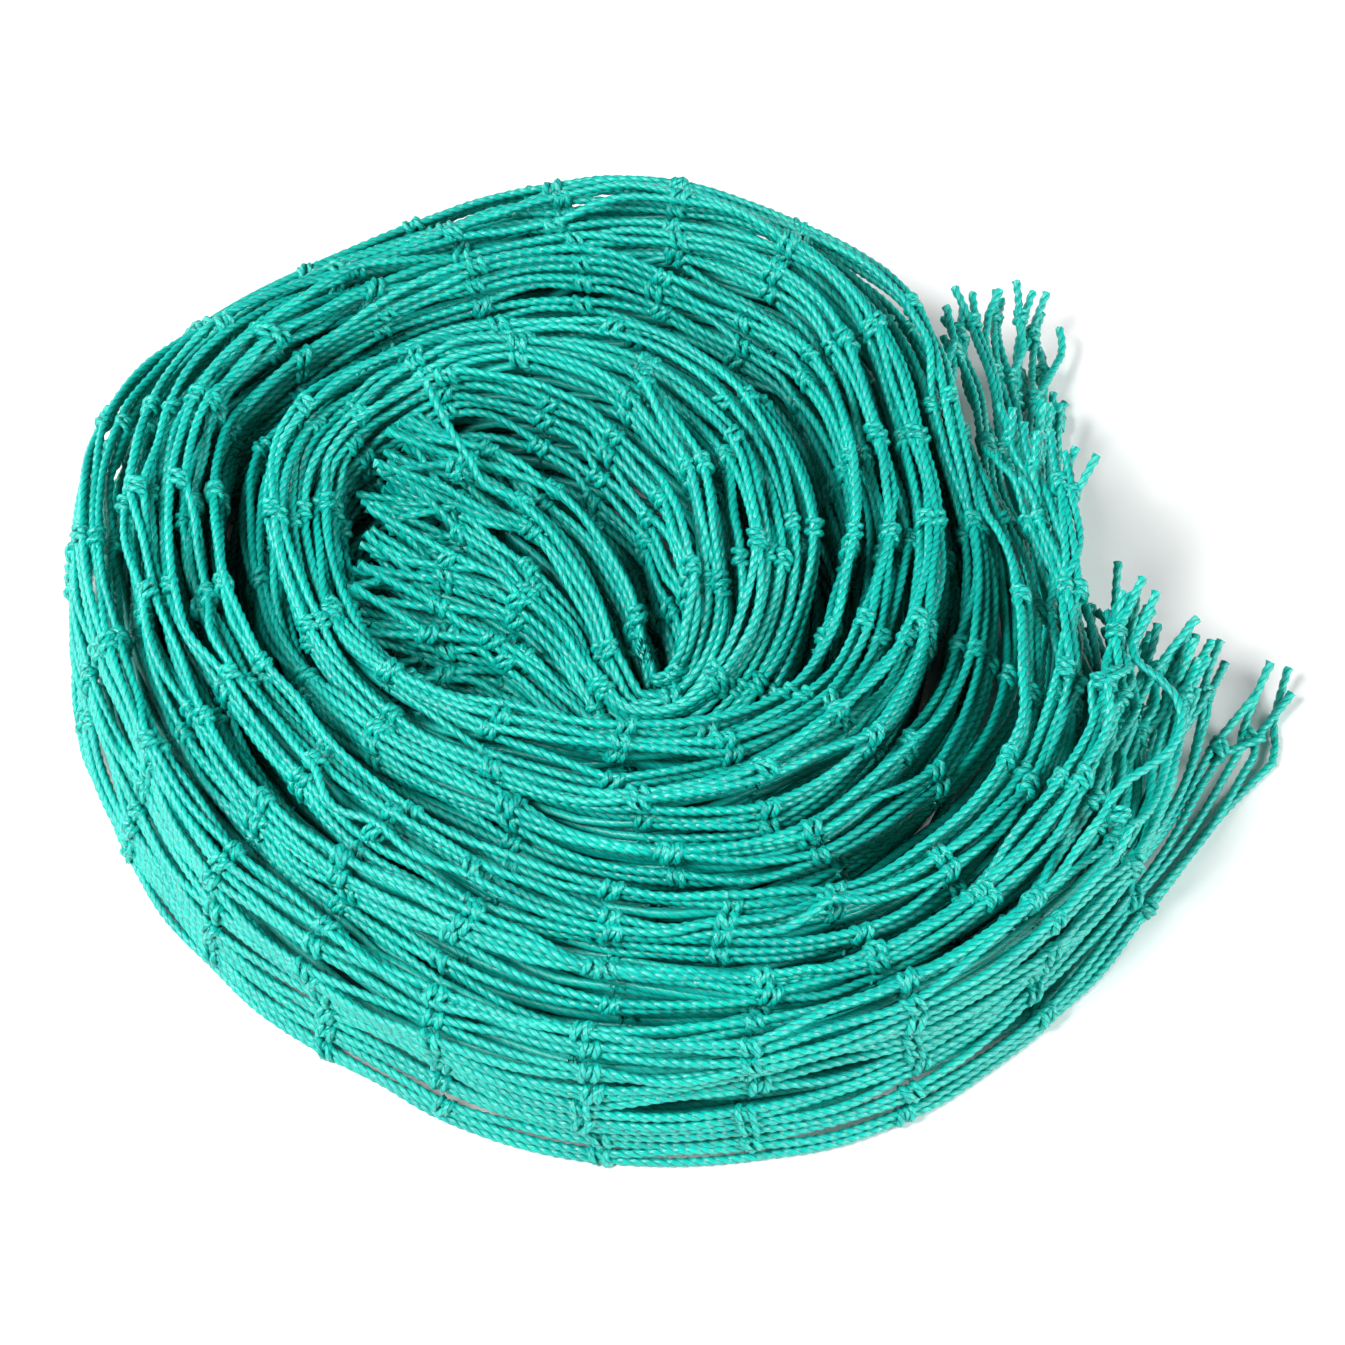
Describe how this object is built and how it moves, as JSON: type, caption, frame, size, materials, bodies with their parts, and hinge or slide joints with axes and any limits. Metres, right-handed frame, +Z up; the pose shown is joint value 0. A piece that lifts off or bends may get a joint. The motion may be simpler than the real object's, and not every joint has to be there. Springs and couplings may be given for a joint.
{
  "type": "ball stop net",
  "caption": "Knotted twine ball stop net drawn closed lengthwise, pleated back and forth across its width and coiled flat, with cut twine ends.",
  "frame": {"origin": "on the surface the coil lies on, under the middle of its bounding box", "axes": "+Z up out of the coil, +X towards the outer end of the net"},
  "size_m": [0.2316, 0.2254, 0.0471],
  "materials": {
    "net_twine": "silky laid twine"
  },
  "bodies": {
    "root": {"net_coil": "net_twine", "outer_end_fringe": "net_twine", "inner_end_fringe": "net_twine"}
  },
  "joints": []
}
